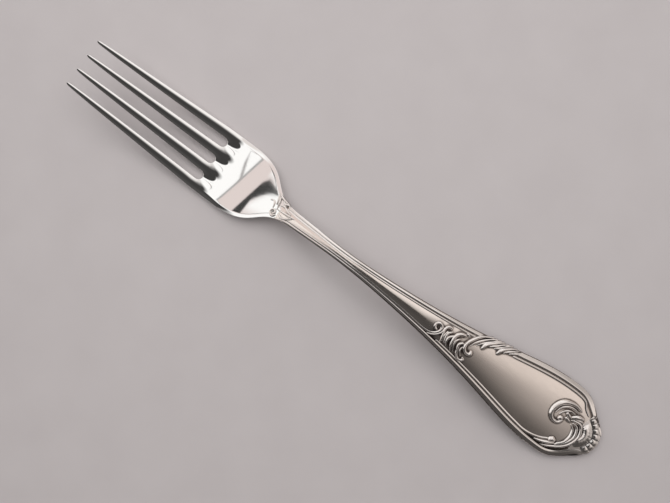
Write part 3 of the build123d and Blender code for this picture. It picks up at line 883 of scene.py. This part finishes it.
def relief_piece(node, sink=0.6):
    """One ornament as a closed skin: its raised top, and a foot sunk into the handle."""
    field = fields[node]
    keep = field > SKIRT
    cells = keep[:-1, :-1] & keep[1:, :-1] & keep[:-1, 1:] & keep[1:, 1:]
    rows, cols = np.nonzero(cells)
    corners = [(rows, cols), (rows + 1, cols), (rows + 1, cols + 1), (rows, cols + 1)]
    used = np.zeros(field.shape, bool)
    for corner in corners:
        used[corner] = True
    number = -np.ones(field.shape, int)
    number[used] = np.arange(used.sum())
    i, j = np.nonzero(used)
    spots = np.stack([RASTER_S[i], RASTER_Y[j]], 1)
    base, up = face_frame(*spots.T)
    height = field[used]
    top = base + up * height[:, None]
    foot = base - np.array([0, 0, sink])
    total = len(top)
    faces = [tuple(q) for q in np.stack([number[corner] for corner in corners], 1).tolist()]
    under = [tuple(total + v for v in f[::-1]) for f in faces]
    sides = [(b, a, total + a, total + b) for a, b in open_edges(faces)]
    # Painted shade with tarnish: cells lower than the raised work around them are darker, the lowest darkest.
    clean_unshaded = np.clip(CLEANER.get(node, CLEAN) + (height - sample(around, spots)) / 0.35, 0, 1)
    clean_unshaded = np.concatenate([np.where(height < 0.02, 0.05, clean_unshaded), np.zeros(total)])
    return to_object(f"{node}_relief", np.concatenate([top, foot]), faces + under + sides, None, clean_unshaded)


# Materials

def add(tree, kind, inputs=None, **settings):
    """A node with its settings, and values or links on its inputs."""
    node = tree.nodes.new(kind)
    for key, value in settings.items():
        setattr(node, key, value)
    for key, value in (inputs or {}).items():
        if isinstance(value, bpy.types.NodeSocket):
            tree.links.new(value, node.inputs[key])
        else:
            node.inputs[key].default_value = value
    return node


def ramp(tree, factor, *stops, mode="LINEAR"):
    """A colour ramp from (position, level) stops, where a level is a grey or a colour."""
    node = add(tree, "ShaderNodeValToRGB", {"Fac": factor})
    node.color_ramp.interpolation = mode
    elements = node.color_ramp.elements
    while len(elements) < len(stops):
        elements.new(0.5)
    for element, (position, level) in zip(elements, stops):
        element.position = position
        element.color = (*level, 1) if isinstance(level, tuple) else (level, level, level, 1)
    return node.outputs["Color"]


def silver(name, bright, tarnish_and_shade, smoothest, roughest, scratch, dark_to, stretch):
    """Silver whose crests are polished, whose hollows are tarnished and darkened with painted shade, with
    fine scratches along the fork.
    """
    material = bpy.data.materials.new(name)
    material.use_nodes = True
    tree = material.node_tree
    tree.nodes.clear()
    output = add(tree, "ShaderNodeOutputMaterial")
    place = add(tree, "ShaderNodeTexCoord").outputs["Object"]
    clean_unshaded = add(tree, "ShaderNodeAttribute", attribute_name="clean_unshaded").outputs["Fac"]
    cloud = add(tree, "ShaderNodeTexNoise", {"Vector": place, "Scale": 140.0, "Detail": 3.0}).outputs["Fac"]
    mottled = add(tree, "ShaderNodeMath", {0: cloud, 1: 0.18}, operation="MULTIPLY").outputs[0]
    rubbed_unshaded = add(tree, "ShaderNodeMath", {0: clean_unshaded, 1: mottled}, operation="ADD").outputs[0]
    # Low values take the dark colour: tarnish with painted shade in the hollows.
    tone = ramp(tree, rubbed_unshaded, (0.12, tarnish_and_shade), (dark_to, bright), mode="EASE")
    long = add(tree, "ShaderNodeMapping", {"Vector": place, "Scale": stretch}).outputs["Vector"]
    lines = add(tree, "ShaderNodeTexNoise", {"Vector": long, "Scale": 900.0, "Detail": 4.0, "Roughness": 0.7})
    gloss = add(tree, "ShaderNodeMapRange", {
        "Value": lines.outputs["Fac"], "From Min": 0.3, "From Max": 0.7,
        "To Min": smoothest, "To Max": roughest,
    }).outputs["Result"]
    bump = add(tree, "ShaderNodeBump", {
        "Height": lines.outputs["Fac"], "Strength": scratch, "Distance": 0.00002,
    }).outputs["Normal"]
    shader = add(tree, "ShaderNodeBsdfPrincipled", {
        "Base Color": tone, "Metallic": 1.0, "Roughness": gloss, "Normal": bump,
    })
    tree.links.new(shader.outputs["BSDF"], output.inputs["Surface"])
    return material


def plain_floor():
    """A pale, matt, faintly mottled board."""
    material = bpy.data.materials.new("pale_board")
    material.use_nodes = True
    tree = material.node_tree
    tree.nodes.clear()
    output = add(tree, "ShaderNodeOutputMaterial")
    place = add(tree, "ShaderNodeTexCoord").outputs["Object"]
    grain = add(tree, "ShaderNodeTexNoise", {"Vector": place, "Scale": 60.0, "Detail": 4.0}).outputs["Fac"]
    tone = ramp(tree, grain, (0.3, (0.495, 0.462, 0.463)), (0.7, (0.515, 0.482, 0.483)))
    shader = add(tree, "ShaderNodeBsdfPrincipled", {
        "Base Color": tone, "Roughness": 0.75, "Specular IOR Level": 0.2,
    })
    tree.links.new(shader.outputs["BSDF"], output.inputs["Surface"])
    return material


polished = silver(
    "polished_silver", bright=(0.93, 0.915, 0.895), tarnish_and_shade=(0.45, 0.42, 0.38),
    smoothest=0.03, roughest=0.05, scratch=0.02, dark_to=0.5, stretch=(0.06, 1, 1),
)
satin = silver(
    "satin_silver", bright=(0.88, 0.8, 0.74), tarnish_and_shade=(0.15, 0.125, 0.11),
    smoothest=0.18, roughest=0.25, scratch=0.12, dark_to=0.58, stretch=(0.08, 1, 1),
)
ornate = silver(
    "ornament_silver", bright=(0.87, 0.82, 0.785), tarnish_and_shade=(0.115, 0.103, 0.1),
    smoothest=0.13, roughest=0.2, scratch=0.1, dark_to=0.5, stretch=(0.4, 1, 1),
)


def finish_piece(obj, material, slot, *nodes):
    """Gives a piece its material and its body, and hides the imported parts that it stands in for."""
    obj.data.materials.append(material)
    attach(obj, "root")
    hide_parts(*nodes)


# The fork

for node, obj in split_plate().items():
    if node in TINES or node == "root":
        finish_piece(obj, polished, "polished_silver", node)
    else:
        finish_piece(obj, satin, "satin_silver", node)

# Threads lean inwards, beads don't; most go on past the border
BORDER_START = NECK + 2.0
SPRAY_START = KNOT + 13.0
CREST_LEAN = 0.2
LEFT_RIM = at_tip((-13, -16.8, 5.2), (-8, -13.6, 4.0), (-4, -10.6, 2.8), (-2, -8.6, 2.0))
RIGHT_RIM = at_tip((-17, 21.7, 3.6), (-13, 18.8, 3.0), (-9, 16.2, 2.6), (-5, 13.2, 2.4), (-2.5, 10.2, 1.8))
RIGHT_END = at_tip((-30, 23.8, 2.7), (-26, 20.8, 2.5), (-22.5, 18.6, 2.2))
threads = {
    "thread_left": (border(BORDER_START, NOTCH - 2.0, thread_inset, thread_width, -1), LEFT_RIM, 1),
    "thread_right_stem": (border(BORDER_START, KNOT + 3.0, thread_inset, thread_width, 1), None, -1),
    "thread_right_blade": (border(SPRAY_START, NOTCH - 2.0, thread_inset, thread_width, 1), RIGHT_RIM, -1),
}
beads = {
    "bead_left_stem": (border(BORDER_START, KNOT - 15.0, bead_inset, bead_width, -1), VOLUTE, 1),
    "bead_left_blade": (border(KNOT - 9.0, END - 24.0, bead_inset, bead_width, -1), BUD_STEM, 1),
    "bead_right_stem": (border(BORDER_START, KNOT + 1.5, bead_inset, bead_width, 1), None, -1),
    "bead_right_blade": (border(SPRAY_START + 1.0, NOTCH - 4.6, bead_inset, bead_width, 1), RIGHT_END, -1),
}
for lean, group in ((CREST_LEAN, threads), (0.0, beads)):
    for node, (track, onward, hand) in group.items():
        track = track if onward is None else np.concatenate([track, onward])
        finish_piece(sweep(f"{node}_moulding", track, lean * hand), ornate, "ornament_silver", node)
for node in fields:
    finish_piece(relief_piece(node), ornate, "ornament_silver", node)

# Stage: a pale board, a softbox that lights it, a room for the silver to mirror, and the camera

FLOOR_HALF = 3.0
board = bpy.data.meshes.new("board")
corners = [(x * FLOOR_HALF, y * FLOOR_HALF, 0) for x, y in ((-1, -1), (1, -1), (1, 1), (-1, 1))]
board.from_pydata(corners, [], [(0, 1, 2, 3)])
floor = bpy.data.objects.new("board", board)
bpy.context.scene.collection.objects.link(floor)
board.materials.append(plain_floor())

softbox = bpy.data.lights.new("softbox", "AREA")
softbox.shape = "DISK"
softbox.size = 0.6
softbox.energy = 1.45
lamp = bpy.data.objects.new("softbox", softbox)
lamp.location = (-0.11, 0.145, 0.42)
lamp.visible_glossy = False
bpy.context.scene.collection.objects.link(lamp)


def soft_room():
    """Light from a bright side at +Y and a dim one at -Y, with pale and dark panels beyond the tines."""
    world = bpy.data.worlds.new("soft_room")
    bpy.context.scene.world = world
    world.use_nodes = True
    tree = world.node_tree
    tree.nodes.clear()

    def spread(value, low, high, to_low=0.0, to_high=1.0):
        return add(tree, "ShaderNodeMapRange", {
            "Value": value, "From Min": low, "From Max": high, "To Min": to_low, "To Max": to_high,
        }).outputs["Result"]

    def math(operation, *values):
        return add(tree, "ShaderNodeMath", dict(enumerate(values)), operation=operation).outputs[0]

    def mixed(share, first, second):
        node = add(tree, "ShaderNodeMix", {0: share, 6: first, 7: second}, data_type="RGBA")
        return node.outputs[2]

    output = add(tree, "ShaderNodeOutputWorld")
    sky = add(tree, "ShaderNodeTexCoord").outputs["Generated"]
    way = add(tree, "ShaderNodeSeparateXYZ", {0: sky}).outputs
    # u and v: how far a direction leans to +X and +Y for its height
    height = math("MAXIMUM", way["Z"], 0.12)
    u = math("DIVIDE", way["X"], height)
    v = math("DIVIDE", way["Y"], height)

    def side_ramp(tint, *stops):
        """Light that changes with v, from (v, level) stops between -2 and 2."""
        tinted = [((at + 2) / 4, tuple(level * t for t in tint)) for at, level in stops]
        return ramp(tree, spread(v, -2.0, 2.0), *tinted)

    # The two sides, as the tines and the handle see them
    warm = (1.02, 0.95, 0.91)
    crisp = side_ramp(
        (1, 0.97, 0.96), (-2, 0.1), (-0.7, 0.08), (-0.3, 0.05), (0.15, 0.05), (0.3, 0.25), (0.45, 0.75),
        (0.6, 1.0), (2, 1.0),
    )
    dim = side_ramp(warm, (-2, 0.07), (-0.2, 0.09), (0.2, 0.16), (0.6, 0.45), (1.2, 0.55), (2, 0.45))
    near = side_ramp(
        warm, (-2, 0.07), (-0.6, 0.07), (-0.43, 0.11), (-0.29, 0.18), (-0.16, 0.255), (-0.02, 0.32),
        (0.05, 0.38), (0.12, 0.47), (0.18, 0.58), (0.32, 0.76), (0.5, 0.76), (0.8, 0.7), (1.2, 0.66),
        (2, 0.62),
    )
    far = side_ramp(
        warm, (-2, 0.07), (-0.6, 0.07), (-0.42, 0.08), (-0.3, 0.13), (-0.2, 0.24), (-0.11, 0.375),
        (0.03, 0.46), (0.12, 0.52), (0.18, 0.62), (0.33, 0.86), (0.5, 0.88), (0.8, 0.72), (1.2, 0.66),
        (2, 0.62),
    )
    handle = mixed(spread(u, 1.1, 1.5), mixed(spread(u, 0.66, 0.89), near, far), dim)
    sides = mixed(spread(u, 0.38, 0.5), crisp, handle)

    # Panels that the root mirrors: bright, pale, a thin dark line, and bright again
    white = 1.06
    bright = (white, white, white, 1)
    pale = (0.785, 0.695, 0.675)
    charcoal = (0.05, 0.05, 0.05)
    grey = (0.42, 0.405, 0.405)
    rims = (0.8, 0.755, 0.735)
    skew = math("MULTIPLY_ADD", spread(v, -0.1, 0.1, -0.1, 0.1), -2.0, u)
    panels = ramp(
        tree, spread(skew, -1.0, 0.0), (0.0, white), (0.2, white), (0.3, pale), (0.585, pale), (0.6, 0.35),
        (0.615, 0.4), (0.63, white), (1.0, white),
    )
    # A dark bar where the first panel turns pale
    bar_start = math("SUBTRACT", spread(v, -0.1, 0.1, -0.785, -0.515), u)
    bar_stop = math("SUBTRACT", u, spread(v, -0.035, 0.02, -0.9, -0.7))
    bar_top = math("SUBTRACT", v, spread(u, -0.74, -0.665, -0.037, -0.019))
    bar = math("MINIMUM", spread(bar_start, 0.0, 0.015), spread(bar_stop, 0.0, 0.015))
    bar = math("MINIMUM", bar, math("MINIMUM", spread(bar_top, 0.0, 0.005), spread(v, 0.08, 0.065)))
    steep = math("ABSOLUTE", v)
    panels = mixed(spread(steep, 0.07, 0.1), panels, bright)
    upper_shoulder = math("MINIMUM", spread(v, 0.03, 0.05), spread(u, -0.46, -0.54))
    panels = mixed(upper_shoulder, panels, (*pale, 1))
    panels = mixed(bar, panels, (*charcoal, 1))
    # A thin grey line that runs into the pale panel
    branch = math("ABSOLUTE", math("SUBTRACT", v, spread(u, -0.4, -0.28, 0.0, -0.03)))
    branch_ends = math("MINIMUM", spread(u, -0.41, -0.39), spread(u, -0.27, -0.3))
    branch = math("MINIMUM", spread(branch, 0.009, 0.004), branch_ends)
    panels = mixed(branch, panels, (*grey, 1))
    lower_shoulder = math("MINIMUM", spread(v, -0.035, -0.05), spread(u, -0.68, -0.74))
    panels = mixed(lower_shoulder, panels, bright)
    panels = mixed(spread(steep, 0.3, 0.55), panels, (*rims, 1))
    # Where the panels give way to the sides
    limit = math("MINIMUM", spread(v, -0.17, -0.08, -0.5, -0.14), math("MULTIPLY", v, 0.8))
    beyond = spread(math("SUBTRACT", u, limit), 0.03, -0.03)
    light = mixed(beyond, sides, panels)

    # A low window beyond the tines
    reach = math("MAXIMUM", math("SQRT", math("MULTIPLY_ADD", u, u, math("MULTIPLY", v, v))), 0.1)
    low = math("MULTIPLY", spread(reach, 1.3, 2.0), spread(math("DIVIDE", u, reach), -0.05, -0.25))
    low = math("MULTIPLY", low, spread(math("DIVIDE", v, reach), -0.75, -0.55))
    light = mixed(low, light, bright)
    background = add(tree, "ShaderNodeBackground", {"Color": light, "Strength": 1.0})
    tree.links.new(background.outputs[0], output.inputs["Surface"])


soft_room()

VIEW_TURN = radians(36.757)
VIEW_LEAN = radians(1.2)
VIEW_DISTANCE = 0.26714
VIEW_TARGET = Vector((-0.00349, -0.00016, 0.0))
VIEW_ANGLE = radians(45)
back = Vector((sin(VIEW_LEAN), 0, cos(VIEW_LEAN)))
right = Vector((cos(VIEW_TURN), sin(VIEW_TURN), 0))
right = (right - back * right.dot(back)).normalized()
up = back.cross(right)
lens = bpy.data.cameras.new("camera")
lens.angle = VIEW_ANGLE
lens.clip_start = 0.01
camera = bpy.data.objects.new("camera", lens)
bpy.context.scene.collection.objects.link(camera)
turn = Matrix((right, up, back)).transposed().to_4x4()
camera.matrix_world = Matrix.Translation(VIEW_TARGET + back * VIEW_DISTANCE) @ turn
bpy.context.scene.camera = camera
bpy.context.scene.view_settings.view_transform = "Standard"

bpy.context.view_layer.update()
